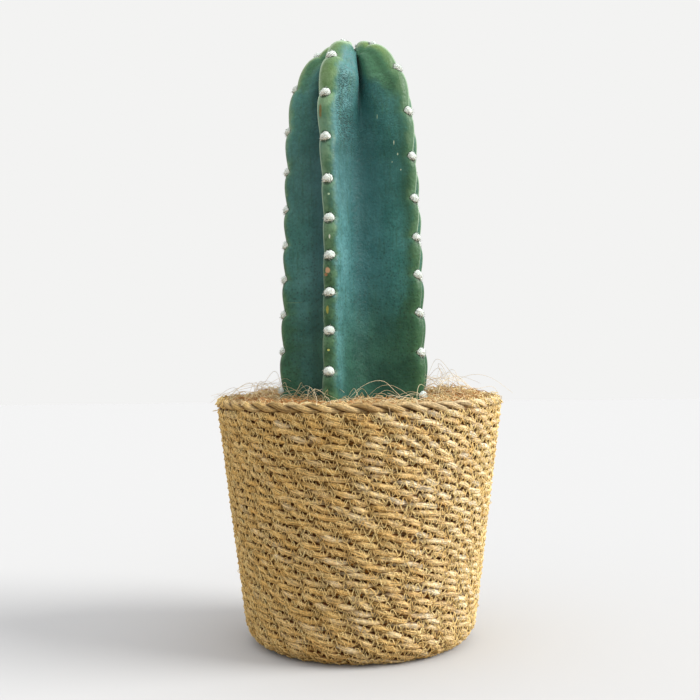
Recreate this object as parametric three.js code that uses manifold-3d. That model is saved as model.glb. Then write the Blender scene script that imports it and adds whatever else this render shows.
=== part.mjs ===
// A Peruvian apple cactus in a plastic nursery pot, set in a coiled seagrass basket and mulched
// with coconut fibre. Millimetres, +Z up. The origin is the middle of the basket's underside, and
// -Y is the side that is seen from the front, with +X to the right.
import * as THREE from "three";
import { mergeVertices } from "three/addons/utils/BufferGeometryUtils.js";
import Module from "manifold-3d";

const wasm = await Module();
wasm.setup();

// Driving dimensions of the basket, which is one seagrass rope wound in rows
const BASKET_TOP_RADIUS = 120;
const BASKET_BASE_RADIUS = 97;
const BASKET_HEIGHT = 205;
const BASKET_CORNER_RADIUS = 21;
const BASKET_WALL = 7;
const ROPE_ROWS = 36;
const ROPE_GROOVE = 1.9;
const ROPE_LUMP = 1.1;
const WALL_SIDES = 40;
const RIM_ROPE_RADIUS = 4.3;
const RIM_LUMPS = 30;

// Driving dimensions of the nursery pot and what fills it
const POT_TOP_RADIUS = 105;
const POT_BASE_RADIUS = 76;
const POT_HEIGHT = 172;
const POT_WALL = 1.8;
const POT_LIP = 3;
const DRAIN_HOLE_RADIUS = 5;
const DRAIN_HOLES = 6;
const SOIL_BELOW_LIP = 16;
const COIR_LEVEL = 198;
const COIR_LUMP = 2.2;
const COIR_FIBRES = 26;
const COIR_FIBRE_WIDTH = 1.1;

// Driving dimensions of the cactus
const STEM_OFFSET_X = -2.5;
const CREST_HALF_THICKNESS = 6.6;
const CREST_BULGE = 3.2;
const AREOLE_RADIUS = 4.4;
const AREOLE_SUNK = 1;
const AREOLE_SPACING = 34;
const AREOLES_PER_RIB = 12;

// Clearance between pieces that touch
const GAP = 0.3;

const RAD = Math.PI / 180;

// A plain point on a circle round the Z axis
function polar(radius, angle, z) {
  return new THREE.Vector3(radius * Math.cos(angle), radius * Math.sin(angle), z);
}

// A smooth step from 0 to 1 as x goes from low to high
function ease(x, low, high) {
  return THREE.MathUtils.smoothstep(x, low, high);
}

// The closed surface through loops of equally many points, each loop anticlockwise seen from
// outside, with a fan to a point at either end
function loft(start, loops, end) {
  const count = loops[0].length;
  const points = [start, ...loops.flat(), end];
  const last = points.length - 1;
  const index = [];
  for (let i = 0; i < count; i++) {
    const next = (i + 1) % count;
    index.push(0, 1 + next, 1 + i);
    for (let k = 0; k + 1 < loops.length; k++) {
      const low = 1 + k * count;
      const high = low + count;
      index.push(low + i, low + next, high + next);
      index.push(low + i, high + next, high + i);
    }
    index.push(last, last - count + i, last - count + next);
  }
  return new THREE.BufferGeometry().setFromPoints(points).setIndex(index);
}

// A turned piece whose outline [radius, height] starts and ends on the axis
function turned(outline) {
  const loops = outline.slice(1, -1).map(([radius, z]) => ring(radius, z));
  const [start, end] = [outline[0], outline.at(-1)].map(([, z]) => new THREE.Vector3(0, 0, z));
  return loft(start, loops, end);
}

// One level loop of the basket, the pot or the soil
function ring(radius, z, sides = WALL_SIDES) {
  return Array.from({ length: sides }, (_, i) => polar(radius, (2 * Math.PI * i) / sides, z));
}

// A closed geometry as a solid that can be joined and cut
function solid(geometry) {
  const bare = geometry.clone();
  bare.deleteAttribute("normal");
  bare.deleteAttribute("uv");
  const merged = mergeVertices(bare, 1e-4);
  return new wasm.Manifold(
    new wasm.Mesh({
      numProp: 3,
      vertProperties: new Float32Array(merged.attributes.position.array),
      triVerts: new Uint32Array(merged.index.array),
    }),
  );
}

// The largest body of a solid as a geometry: scraps that a cut leaves loose are dropped
function geometryOf(shape) {
  const bodies = shape.decompose().sort((a, b) => b.volume() - a.volume());
  const mesh = bodies[0].getMesh();
  const geometry = new THREE.BufferGeometry();
  geometry.setAttribute("position", new THREE.BufferAttribute(mesh.vertProperties, 3));
  geometry.setIndex(new THREE.BufferAttribute(mesh.triVerts, 1));
  return geometry;
}

// The basket's outer face as a path: a round corner from the base, then a straight leaning wall
const lean = Math.atan2(
  BASKET_TOP_RADIUS - BASKET_BASE_RADIUS,
  BASKET_HEIGHT - BASKET_CORNER_RADIUS,
);
const wallTop = BASKET_HEIGHT - 2 * RIM_ROPE_RADIUS - GAP;
const cornerCentre = BASKET_BASE_RADIUS - BASKET_CORNER_RADIUS * Math.cos(lean);
const cornerLength = BASKET_CORNER_RADIUS * (Math.PI / 2 - lean);
const wallFoot = BASKET_CORNER_RADIUS * (1 - Math.sin(lean));
const wallLength = cornerLength + (wallTop - wallFoot) / Math.cos(lean);

function outerFace(along) {
  if (along < cornerLength) {
    const turn = along / BASKET_CORNER_RADIUS;
    return {
      radius: cornerCentre + BASKET_CORNER_RADIUS * Math.sin(turn),
      z: BASKET_CORNER_RADIUS * (1 - Math.cos(turn)),
      out: [Math.sin(turn), -Math.cos(turn)],
    };
  }
  const up = along - cornerLength;
  return {
    radius: BASKET_BASE_RADIUS + up * Math.sin(lean),
    z: wallFoot + up * Math.cos(lean),
    out: [Math.cos(lean), -Math.sin(lean)],
  };
}

// The radius of the basket's inner face at a height above its round corner
function innerRadius(z) {
  return BASKET_BASE_RADIUS + (z - wallFoot) * Math.tan(lean) - BASKET_WALL / Math.cos(lean);
}

// One loop of the outer face, sunk below it by a depth that depends on the side
function wallLoop(along, depthAt) {
  const { radius, z, out } = outerFace(along);
  return Array.from({ length: WALL_SIDES }, (_, side) => {
    const depth = depthAt(side);
    return polar(radius - depth * out[0], (2 * Math.PI * side) / WALL_SIDES, z - depth * out[1]);
  });
}

// The basket's wall and floor: a groove between one row of rope and the next, and the lumps of
// the twisted strands along each row, set half a lump on from those of the row below
function basketBody() {
  const pitch = wallLength / ROPE_ROWS;
  const loops = [ring(cornerCentre - 6, 0)];
  for (let row = 0; row < ROPE_ROWS; row++) {
    const lumpy = (side) => ((side + row) % 2 ? ROPE_LUMP : 0);
    loops.push(wallLoop(row * pitch, () => ROPE_GROOVE));
    loops.push(wallLoop((row + 0.5) * pitch, lumpy));
  }
  loops.push(wallLoop(wallLength, () => ROPE_GROOVE));
  const cornerIn = BASKET_CORNER_RADIUS - BASKET_WALL;
  loops.push(ring(innerRadius(wallTop), wallTop));
  loops.push(ring(innerRadius(wallFoot), wallFoot));
  for (const turn of [60, 30]) {
    const out = Math.sin(turn * RAD);
    const down = Math.cos(turn * RAD);
    loops.push(ring(cornerCentre + cornerIn * out, BASKET_CORNER_RADIUS - cornerIn * down));
  }
  loops.push(ring(cornerCentre, BASKET_WALL));
  return loft(new THREE.Vector3(0, 0, 0), loops, new THREE.Vector3(0, 0, BASKET_WALL));
}

// The thick rope that finishes the rim: two strands twisted round each other
function rimRope() {
  const centreRadius = BASKET_TOP_RADIUS - RIM_ROPE_RADIUS;
  const stepsPerLump = 3;
  const across = 5;
  const steps = RIM_LUMPS * stepsPerLump;
  const points = [];
  const index = [];
  for (let i = 0; i < steps; i++) {
    const twist = (Math.PI * i) / stepsPerLump;
    for (let j = 0; j < across; j++) {
      const angle = (2 * Math.PI * j) / across;
      const strand = RIM_ROPE_RADIUS * (0.88 + 0.12 * Math.cos(2 * angle + twist));
      const radius = centreRadius + strand * Math.cos(angle);
      const z = BASKET_HEIGHT - RIM_ROPE_RADIUS + strand * Math.sin(angle);
      points.push(polar(radius, (2 * Math.PI * i) / steps, z));
    }
  }
  for (let i = 0; i < steps; i++) {
    const here = i * across;
    const there = ((i + 1) % steps) * across;
    for (let j = 0; j < across; j++) {
      const next = (j + 1) % across;
      index.push(here + j, there + j, there + next);
      index.push(here + j, there + next, here + next);
    }
  }
  return new THREE.BufferGeometry().setFromPoints(points).setIndex(index);
}

// The nursery pot: a thin tapered cup with a rolled lip and drain holes in its floor
const potFloor = BASKET_WALL + GAP;
const potTop = potFloor + POT_HEIGHT;

function potRadius(z) {
  const share = (z - potFloor) / POT_HEIGHT;
  return POT_BASE_RADIUS + (POT_TOP_RADIUS - POT_LIP - POT_BASE_RADIUS) * share;
}

function nurseryPot() {
  const lipFoot = potTop - 2 * POT_LIP;
  const inside = (z) => [potRadius(z) - POT_WALL, z];
  const cup = turned([
    [0, potFloor],
    [POT_BASE_RADIUS, potFloor],
    [potRadius(lipFoot), lipFoot],
    [POT_TOP_RADIUS, lipFoot],
    [POT_TOP_RADIUS, potTop],
    inside(potTop),
    inside(potFloor + POT_WALL),
    [0, potFloor + POT_WALL],
  ]);
  let pot = solid(cup);
  for (let i = 0; i < DRAIN_HOLES; i++) {
    const place = polar(POT_BASE_RADIUS * 0.7, (2 * Math.PI * i) / DRAIN_HOLES, potFloor);
    const drill = new THREE.CylinderGeometry(DRAIN_HOLE_RADIUS, DRAIN_HOLE_RADIUS, 5 * POT_WALL, 8);
    drill.rotateX(90 * RAD).translate(place.x, place.y, place.z);
    pot = pot.subtract(solid(drill));
  }
  return geometryOf(pot);
}

// Each rib: where it points, seen from above with 0 to the front and positive to the right, how
// many degrees it turns on its way up to the tip, how far from the tip its first areole sits along
// the crest, and how its spacing compares with the others
const RIBS = [
  { azimuth: -92, turn: -6, firstAreole: 10.7, stretch: 0.98 },
  { azimuth: -20, turn: -12, firstAreole: 3.4, stretch: 0.99 },
  { azimuth: 61, turn: -12, firstAreole: 5.6, stretch: 1.03 },
  { azimuth: 107, turn: 15, firstAreole: 8.2, stretch: 1.0 },
  { azimuth: 191, turn: 0, firstAreole: 4.6, stretch: 0.98 },
];

// The direction of a rib: half of its turn is in the upper third of the stem, half over the dome
function direction(rib, along) {
  const turned = 1 - (ease(along, 60, 210) + ease(along, 0, 60)) / 2;
  return (rib.azimuth + rib.turn * turned - 90) * RAD;
}

// The stem's outline, from the tip down to its buried end. Each row pairs a point of a rib's
// crest with one of the valley beside it: [crest radius, crest height, valley radius, height].
const STEM_OUTLINE = [
  [0, 499, 0, 499],
  [9, 504, 3, 494],
  [23, 499.5, 8, 487],
  [37.5, 487, 13.5, 476],
  [48.2, 468, 18, 459],
  [54.6, 436, 22, 433],
  [56.2, 395, 25, 394],
  [58, 330, 27, 330],
  [60.3, 262, 28.5, 262],
  [62.5, 205, 29.5, 205],
  [60.5, 165, 29, 165],
  [52, 133, 27, 132],
  [38, 110, 22, 107],
  [18, 99, 12, 97],
  [0, 96, 0, 96],
];
const stemFoot = STEM_OUTLINE.at(-1)[1];
const outlineCurve = (at) =>
  new THREE.CatmullRomCurve3(
    STEM_OUTLINE.map((row) => new THREE.Vector3(row[at], 0, row[at + 1])),
    false,
    "catmullrom",
  );
const crestCurve = outlineCurve(0);
const valleyCurve = outlineCurve(2);
crestCurve.arcLengthDivisions = 1500;
const crestLength = crestCurve.getLength();
// How far along the crest the coir surely covers it: below there it is smooth and has no areoles
const BURIED_FROM = 352;

// The distance from one areole to the next: short at the growing tip, and longer and shorter
// in turn below it, as good and poor seasons made it
function areoleGap(along) {
  const season = AREOLE_SPACING + 4 * Math.cos((2 * Math.PI * (along - 43)) / 330);
  return season * (1 - 0.75 * Math.exp(-along / 15));
}

function areolesOf(rib) {
  const places = [rib.firstAreole];
  while (places.length <= AREOLES_PER_RIB) {
    places.push(places.at(-1) + rib.stretch * areoleGap(places.at(-1)));
  }
  return places;
}

// How far the crest bulges between two areoles: soon below the upper one, then gently back
function bulge(share) {
  return CREST_BULGE * Math.sin(Math.PI * share ** 0.63);
}

// The places along each rib where the stem has a loop: the areoles and two more between them
const SHARES = [0, 0.16, 0.56];
const BURIED_LOOPS = [402, 422, 442, 457];

function stationsOf(rib) {
  const areoles = areolesOf(rib);
  const stations = [];
  for (let i = 0; i < AREOLES_PER_RIB; i++) {
    for (const share of SHARES) {
      const along = areoles[i] + share * (areoles[i + 1] - areoles[i]);
      const fade = 1 - ease(along, BURIED_FROM, BURIED_FROM + 25);
      stations.push({ along, bulge: bulge(share) * Math.min(1, along / 30) * fade });
    }
  }
  for (const along of BURIED_LOOPS) stations.push({ along, bulge: 0 });
  return stations;
}

// The crest and the valley at a distance along the crest, with the crest's outward direction
function outlineAt(along) {
  const t = crestCurve.getUtoTmapping(Math.min(along / crestLength, 0.9999));
  const tangent = crestCurve.getTangent(t);
  return {
    crest: crestCurve.getPoint(t),
    valley: valleyCurve.getPoint(t),
    out: new THREE.Vector3(-tangent.z, 0, tangent.x),
  };
}

// Half of a rib's cross-section, from the crest to the valley: a round crest, then a hollow flank
// that a cubic curve draws. Near the tip the ribs are fat and meet in a sharp crease.
const CREST_TURNS = [0, 48 * RAD, 88 * RAD];
const FLANK_SHARES = [0.36, 0.7, 1];

function halfRib(along, lift, valleyAlong, halfAngle, grow) {
  const here = outlineAt(along);
  const crest = here.crest.clone().addScaledVector(here.out, lift + grow);
  const young = 1 - ease(along, 50, 150);
  const thickness = CREST_HALF_THICKNESS * (1 + 0.55 * young) + grow;
  const round = Math.min(thickness, crest.x * Math.tan(halfAngle) * 0.62);
  const points = CREST_TURNS.map((turn) => {
    const sink = round * (1 - Math.cos(turn));
    return {
      along: crest.x - sink * here.out.x,
      across: round * Math.sin(turn),
      z: crest.z - sink * here.out.z,
    };
  });
  const { valley } = outlineAt(valleyAlong);
  const valleyRadius = valley.x + grow;
  const from = new THREE.Vector2(points[2].along, points[2].across);
  const centre = new THREE.Vector2();
  const to = new THREE.Vector2(valleyRadius, 0).rotateAround(centre, halfAngle);
  const reach = from.distanceTo(to);
  const crease = 70 * RAD * young;
  const flank = new THREE.CubicBezierCurve(
    from,
    new THREE.Vector2(-1, 0.1).setLength(reach * 0.5).add(from),
    new THREE.Vector2(reach * 0.36, 0).rotateAround(centre, halfAngle - 90 * RAD + crease).add(to),
    to,
  );
  for (const share of FLANK_SHARES) {
    const { x, y } = flank.getPoint(share);
    points.push({ along: x, across: y, z: THREE.MathUtils.lerp(points[2].z, valley.z, share) });
  }
  return points;
}

// An angle brought into the range from 0 to a full turn
function withinOneTurn(angle) {
  return THREE.MathUtils.euclideanModulo(angle, 2 * Math.PI);
}

// The ribbed stem, or the same stem grown by a small distance all over
function stemSkin(grow = 0) {
  const stations = RIBS.map(stationsOf);
  const loops = stations[0].map((_, level) =>
    RIBS.flatMap((rib, i) => {
      const before = (i + RIBS.length - 1) % RIBS.length;
      const after = (i + 1) % RIBS.length;
      const here = stations[i][level];
      const centre = direction(rib, here.along);
      const sides = [before, after].map((other, side) => {
        const apart = (direction(RIBS[other], here.along) - centre) * (side ? 1 : -1);
        const valley = (here.along + stations[other][level].along) / 2;
        return halfRib(here.along, here.bulge, valley, withinOneTurn(apart) / 2, grow);
      });
      // from just past the valley on the left, over the crest, to the valley on the right
      const left = sides[0].slice(1, -1).reverse();
      return [...left.map((p) => [p, -1]), ...sides[1].map((p) => [p, 1])].map(([p, side]) =>
        polar(
          Math.hypot(p.along, p.across),
          centre + side * Math.atan2(p.across, p.along),
          p.z,
        ).add(new THREE.Vector3(STEM_OFFSET_X, 0, 0)),
      );
    }),
  );
  const tip = new THREE.Vector3(STEM_OFFSET_X, 0, STEM_OUTLINE[0][1] + grow);
  const foot = new THREE.Vector3(STEM_OFFSET_X, 0, stemFoot - grow);
  return loft(foot, loops.reverse(), tip);
}

// A woolly areole: a low dome sunk into the crest, facing out and a little up. It is turned a
// little round its own axis, so that none of its corners lies on an edge of the crest.
function areole(rib, along, grow) {
  const { crest, out } = outlineAt(along);
  const small = 0.55 + 0.45 * ease(along, 0, 60);
  const dome = new THREE.SphereGeometry(AREOLE_RADIUS * small + grow, 5, 3).rotateY(0.21);
  dome.scale(1, 0.75, 0.95);
  const up = new THREE.Vector3(out.x, 0, out.z + 0.35).normalize();
  dome.applyQuaternion(new THREE.Quaternion().setFromUnitVectors(new THREE.Vector3(0, 1, 0), up));
  dome.translate(crest.x - AREOLE_SUNK * out.x, 0, crest.z - AREOLE_SUNK * out.z);
  dome.rotateZ(direction(rib, along)).translate(STEM_OFFSET_X, 0, 0);
  return solid(dome);
}

// The whole plant: the stem with an areole at each notch of its ribs. Grown by a small distance,
// it is what the coir lies round.
function plant(grow = 0) {
  let body = solid(stemSkin(grow));
  for (const rib of RIBS) {
    for (const along of areolesOf(rib)) {
      if (along < BURIED_FROM) body = body.add(areole(rib, along, grow));
    }
  }
  return body;
}

// Soil fills the pot to a little below its lip, with a plain round hole that the stem stands in
const soilTop = potTop - SOIL_BELOW_LIP;
const SOIL_HOLE = [
  [0, stemFoot - GAP],
  [20, stemFoot - GAP],
  [46, 112],
  [57, 138],
  [62.8, soilTop + 1],
  [0, soilTop + 1],
];

function pottingSoil() {
  const fit = (z) => [potRadius(z) - POT_WALL - GAP, z];
  const floor = potFloor + POT_WALL + GAP;
  const fill = solid(turned([[0, floor], fit(floor), fit(soilTop), [0, soilTop]]));
  const hole = solid(turned(SOIL_HOLE).translate(STEM_OFFSET_X, 0, 0));
  return geometryOf(fill.subtract(hole));
}

// The height of the coir's top: hummocks, with a mound to the right and two behind the stem
function coirTop(x, y) {
  const broad = Math.sin(x * 0.11 + 1) * Math.sin(y * 0.13);
  const fine = 0.6 * Math.sin(x * 0.21 - y * 0.17);
  const mound = (cx, cy, width) => Math.exp(-((x - cx) ** 2 + (y - cy) ** 2) / width ** 2);
  const mounds = 9 * mound(78, 12, 30) + 7 * mound(-60, 48, 34) + 6 * mound(20, 85, 40);
  return COIR_LEVEL + COIR_LUMP * (broad + fine) + mounds;
}

// A seeded row of random numbers from 0 to 1
function randomFrom(seed) {
  let state = seed;
  return () => {
    state = (state * 1664525 + 1013904223) % 4294967296;
    return state / 4294967296;
  };
}

// A stray fibre: a thin three-sided strand that leaves the mat, arches over and dips back
function coirFibre(random) {
  const angle = 2 * Math.PI * random();
  const radius = 72 + 26 * random();
  const foot = polar(radius, angle, 0);
  const heading = 2 * Math.PI * random();
  const span = 14 + 22 * random();
  const rise = 6 + 14 * random();
  const at = (share) => {
    const bend = heading + 1.4 * (share - 0.5);
    const x = foot.x + span * (share - 0.5) * Math.cos(bend);
    const y = foot.y + span * (share - 0.5) * Math.sin(bend);
    const up = Math.sin(Math.PI * share) * rise - 3;
    return new THREE.Vector3(x, y, coirTop(x, y) + up);
  };
  const path = new THREE.CatmullRomCurve3([0, 0.25, 0.5, 0.75, 1].map(at));
  const section = new THREE.Shape(
    [90, 210, 330].map((turn) => {
      const half = COIR_FIBRE_WIDTH * 0.6;
      return new THREE.Vector2(half * Math.cos(turn * RAD), half * Math.sin(turn * RAD));
    }),
  );
  return solid(new THREE.ExtrudeGeometry(section, { steps: 4, extrudePath: path }));
}

// The coconut fibre: a mat that rests on the soil inside the pot, spreads over its lip to the
// basket's wall, and follows the ribs of the stem
function coirMulch() {
  const shelf = potTop + GAP;
  const plug = potRadius(soilTop) - POT_WALL - GAP;
  const edge = innerRadius(shelf) - GAP;
  const loops = [
    ring(plug, soilTop + GAP),
    ring(plug, shelf),
    ring(edge, shelf),
    ring(innerRadius(COIR_LEVEL - 6) - GAP, COIR_LEVEL - 6),
  ];
  for (const radius of [103, 88, 72, 55]) {
    loops.push(ring(radius, 0).map((p) => p.setZ(coirTop(p.x, p.y))));
  }
  let mat = solid(
    loft(new THREE.Vector3(0, 0, soilTop + GAP), loops, new THREE.Vector3(0, 0, coirTop(0, 0))),
  );
  const random = randomFrom(7);
  for (let i = 0; i < COIR_FIBRES; i++) mat = mat.add(coirFibre(random));
  return geometryOf(mat.subtract(plant(GAP)));
}

// Colours and finishes
const seagrass = new THREE.MeshStandardMaterial({ color: 0xb8965c, roughness: 0.85 });
const rimSeagrass = new THREE.MeshStandardMaterial({ color: 0xc3a066, roughness: 0.8 });
const blackPlastic = new THREE.MeshStandardMaterial({ color: 0x1c1c1d, roughness: 0.5 });
const soil = new THREE.MeshStandardMaterial({ color: 0x3a2a1e, roughness: 1 });
const coir = new THREE.MeshStandardMaterial({ color: 0x9a6a3c, roughness: 0.95 });
const cactusSkin = new THREE.MeshStandardMaterial({ color: 0x3f6a5c, roughness: 0.55 });

function piece(name, geometry, material) {
  const mesh = new THREE.Mesh(geometry, material);
  mesh.name = name;
  return mesh;
}

const pottedCactus = new THREE.Group();
pottedCactus.add(
  piece("basket_body", basketBody(), seagrass),
  piece("basket_rim_rope", rimRope(), rimSeagrass),
  piece("nursery_pot", nurseryPot(), blackPlastic),
  piece("potting_soil", pottingSoil(), soil),
  piece("coir_mulch", coirMulch(), coir),
  piece("cactus_stem", geometryOf(plant()), cactusSkin),
);

export default pottedCactus;
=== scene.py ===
# %% [markdown]
# # A Peruvian apple cactus in a seagrass basket
#
# The plant is a column of five ribs in a plastic nursery pot, and the pot stands in a basket coiled
# from one long rope of twisted seagrass. Coconut fibre hides the pot and the soil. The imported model
# gives every piece its size and place, and this lesson builds the looks round it: the rope with its
# stitches, the waxy skin, the woolly areoles and the loose fibres.

import math

import bpy
import numpy as np
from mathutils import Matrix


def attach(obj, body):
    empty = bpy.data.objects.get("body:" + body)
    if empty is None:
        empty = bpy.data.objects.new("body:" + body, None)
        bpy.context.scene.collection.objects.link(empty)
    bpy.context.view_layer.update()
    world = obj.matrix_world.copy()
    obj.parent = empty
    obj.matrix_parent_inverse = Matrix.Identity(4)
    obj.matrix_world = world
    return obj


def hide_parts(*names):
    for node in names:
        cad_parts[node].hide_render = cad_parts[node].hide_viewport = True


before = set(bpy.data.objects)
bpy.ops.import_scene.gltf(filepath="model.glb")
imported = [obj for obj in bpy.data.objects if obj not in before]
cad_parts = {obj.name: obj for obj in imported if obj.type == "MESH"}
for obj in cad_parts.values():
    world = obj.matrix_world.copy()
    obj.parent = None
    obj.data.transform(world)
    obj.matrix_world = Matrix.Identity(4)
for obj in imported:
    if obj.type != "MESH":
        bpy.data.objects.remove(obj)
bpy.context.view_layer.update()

# %% [markdown]
# ## The view
#
# A level camera keeps upright lines upright. It stands a little under a metre away, at half the
# plant's height. A tiny turn and a small shift bring the basket to its place in the picture.

# %% The camera
IMAGE_WIDTH = 700
FOCAL_PIXELS = 1040
SHIFT_PIXELS = -8.6
CAMERA_PLACE = (0, -0.887, 0.244)
CAMERA_TURN = math.radians(0.5)

lens = bpy.data.cameras.new("camera")
lens.sensor_width = 36
lens.lens = lens.sensor_width * FOCAL_PIXELS / IMAGE_WIDTH
lens.shift_x = SHIFT_PIXELS / IMAGE_WIDTH
lens.clip_start = 0.01
camera = bpy.data.objects.new("camera", lens)
camera.location = CAMERA_PLACE
camera.rotation_euler = (math.pi / 2, CAMERA_TURN, 0)
bpy.context.scene.collection.objects.link(camera)
bpy.context.scene.camera = camera
print("lens", round(lens.lens, 1), "mm")

# %% [markdown]
# ## Nodes by short calls
#
# Every tree in this lesson is built with the same few helpers. One call adds a node to the tree
# that was begun last and gives back one of its outputs as a value. Values are added and multiplied
# with the usual signs, and each sign adds the node that works it out, so a tree reads like a sum.


# %% Values, and the node that gives one
class Value:
    """An output of a node, as a number or a vector to reckon with."""

    def __init__(self, socket):
        self.socket = socket
        self.is_vector = socket.type in ("VECTOR", "RGBA")

    def __add__(self, other):
        return calc("ADD", self, other)

    def __sub__(self, other):
        return calc("SUBTRACT", self, other)

    def __mul__(self, other):
        return calc("MULTIPLY", self, other)

    def __truediv__(self, other):
        return calc("DIVIDE", self, other)

    def __abs__(self):
        return calc("ABSOLUTE", self)

    def part(self, axis):
        return node("ShaderNodeSeparateXYZ", {0: self}, axis)

    x = property(lambda self: self.part(0))
    y = property(lambda self: self.part(1))
    z = property(lambda self: self.part(2))


begun = []


def begin(tree):
    """Makes this tree the one that new nodes go into."""
    begun.append(tree)
    return tree


def link(value, socket):
    begun[-1].links.new(value.socket, socket)


def node(kind, inputs=None, out=0, **settings):
    made = begun[-1].nodes.new(kind)
    for name, value in settings.items():
        setattr(made, name, value)
    for key, value in (inputs or {}).items():
        if isinstance(value, Value):
            link(value, made.inputs[key])
        else:
            made.inputs[key].default_value = value
    return made if out is None else Value(made.outputs[out])


def outputs_of(made):
    return {socket.name: Value(socket) for socket in made.outputs}


def calc(operation, *terms, out=0):
    """One sum with numbers or with vectors. A vector times a number is scaled."""
    vectors = [isinstance(term, tuple) or getattr(term, "is_vector", False) for term in terms]
    kind, inputs = "ShaderNodeMath", dict(enumerate(terms))
    if any(vectors):
        kind = "ShaderNodeVectorMath"
        if operation == "MULTIPLY" and not vectors[1]:
            operation, inputs = "SCALE", {0: terms[0], "Scale": terms[1]}
    return node(kind, inputs, out, operation=operation)


def combined(*parts):
    """A vector from one to three numbers."""
    return node("ShaderNodeCombineXYZ", dict(enumerate(parts)))


def ramp(value, low, high, to_low=0.0, to_high=1.0, smooth=True):
    """The value from low to high, spread over to_low to to_high and held there beyond."""
    kind = "SMOOTHSTEP" if smooth else "LINEAR"
    inputs = dict(enumerate([value, low, high, to_low, to_high]))
    return node("ShaderNodeMapRange", inputs, interpolation_type=kind)


def noise(vector, scale, detail=2.0, roughness=0.5, out="Fac"):
    inputs = {"Vector": vector, "Scale": scale, "Detail": detail, "Roughness": roughness}
    return node("ShaderNodeTexNoise", inputs, out)


def colour(red, green, blue):
    """A colour as a paint programme shows it, in the linear values that a shader needs."""
    parts = [part / 255 for part in (red, green, blue)]
    return (*[p / 12.92 if p < 0.04045 else ((p + 0.055) / 1.055) ** 2.4 for p in parts], 1)


def mix(factor, first, second):
    """A mix of two colours, each given as a value or as three numbers up to 255."""
    first, second = (colour(*c) if isinstance(c, tuple) else c for c in (first, second))
    return node("ShaderNodeMix", {0: factor, 6: first, 7: second}, 2, data_type="RGBA")


# %% [markdown]
# ## The light
#
# Soft light comes from all sides, and more of it from the right. A very wide sun lamp gives the
# second part, with soft shadows that are alike over the whole plant. The world is less bright at
# the sides than the camera sees it, and brighter above, so the shaded flanks stay dark against a
# nearly white surround. The ground has no gloss. For light that bounces off it, it is darker and
# warmer than the camera sees it, which keeps the undersides of the rope in shade.

# %% World, lamp and ground
SIDE_STRENGTH, TOP_STRENGTH = 0.8, 1.34
LAMP_AZIMUTH = math.radians(80)
LAMP_HEIGHT = math.radians(32)
LAMP_WIDTH = math.radians(34)
LAMP_ENERGY = 3.35
GROUND_SIZE = 8

world = bpy.data.worlds.new("soft light")
world.use_nodes = True
begin(world.node_tree).nodes.clear()
seen = node("ShaderNodeBackground", {"Color": colour(243, 243, 242)})
upward = node("ShaderNodeTexCoord").z
bright = ramp(upward, 0.0, 1.0, SIDE_STRENGTH, TOP_STRENGTH, smooth=False)
glow = node("ShaderNodeBackground", {"Color": colour(251, 250, 250), "Strength": bright})
direct = node("ShaderNodeLightPath", out="Is Camera Ray")
both = node("ShaderNodeMixShader", {0: direct, 1: glow, 2: seen})
node("ShaderNodeOutputWorld", {"Surface": both}, out=None)
bpy.context.scene.world = world
bpy.context.scene.view_settings.view_transform = "Standard"

lamp = bpy.data.lights.new("side light", "SUN")
lamp.energy = LAMP_ENERGY
lamp.angle = LAMP_WIDTH
lamp.color = (1, 0.985, 0.95)
lamp_object = bpy.data.objects.new("side light", lamp)
lamp_object.rotation_euler = (math.pi / 2 - LAMP_HEIGHT, 0, LAMP_AZIMUTH)
bpy.context.scene.collection.objects.link(lamp_object)

bpy.ops.mesh.primitive_plane_add(size=GROUND_SIZE, location=(0, 0, 0))
ground = bpy.context.object
ground.name = "ground"
matt = bpy.data.materials.new("matt ground")
matt.use_nodes = True
ground_shader = begin(matt.node_tree).nodes["Principled BSDF"]
ground_shader.inputs["Specular IOR Level"].default_value = 0
direct = node("ShaderNodeLightPath", out="Is Camera Ray")
link(mix(direct, (164, 148, 126), (194, 195, 196)), ground_shader.inputs["Base Color"])
ground.data.materials.append(matt)


# %% [markdown]
# ## Materials and meshes
#
# A material here is one Principled shader whose colour, roughness and bump come from nodes. What
# more than one material needs, such as the grain of plant fibre, is a node group that is built
# once. Meshes are built from arrays of points, with extra values on their points for the shaders:
# how far along a rope a point lies, or how far from the crest of a rib.


# %% Helpers for materials, groups and meshes
def material(name, **plain):
    """A material whose tree is begun, and its Principled shader."""
    made = bpy.data.materials.new(name)
    made.use_nodes = True
    shader = begin(made.node_tree).nodes["Principled BSDF"]
    for label, value in plain.items():
        shader.inputs[label.replace("_", " ")].default_value = value
    return made, shader


def finish(shader, base, roughness, height, depth):
    """Feeds the shader: a colour, a roughness, and a height that becomes a bump."""
    bump = node("ShaderNodeBump", {"Height": height, "Distance": depth, "Strength": 1.0})
    for label, value in (("Base Color", base), ("Roughness", roughness), ("Normal", bump)):
        link(value, shader.inputs[label])


SOCKETS = {float: "NodeSocketFloat", int: "NodeSocketInt", tuple: "NodeSocketVector"}


def add_inputs(tree, inputs):
    for label, value in inputs.items():
        kind = SOCKETS[type(value)]
        tree.interface.new_socket(label, in_out="INPUT", socket_type=kind).default_value = value


def shader_group(name, inputs, outputs):
    """A node group for shaders, with what it is given and the node that it ends in."""
    group = begin(bpy.data.node_groups.new(name, "ShaderNodeTree"))
    add_inputs(group, inputs)
    for label in outputs:
        group.interface.new_socket(label, in_out="OUTPUT", socket_type="NodeSocketFloat")
    return group, outputs_of(group.nodes.new("NodeGroupInput")), group.nodes.new("NodeGroupOutput")


def placed(group, **inputs):
    """The group in a material, with its own values: gives all the outputs."""
    inputs = {label.replace("_", " "): value for label, value in inputs.items()}
    return outputs_of(node("ShaderNodeGroup", inputs, out=None, node_tree=group))


def attribute(name, out="Fac"):
    return node("ShaderNodeAttribute", out=out, attribute_name=name)


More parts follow.
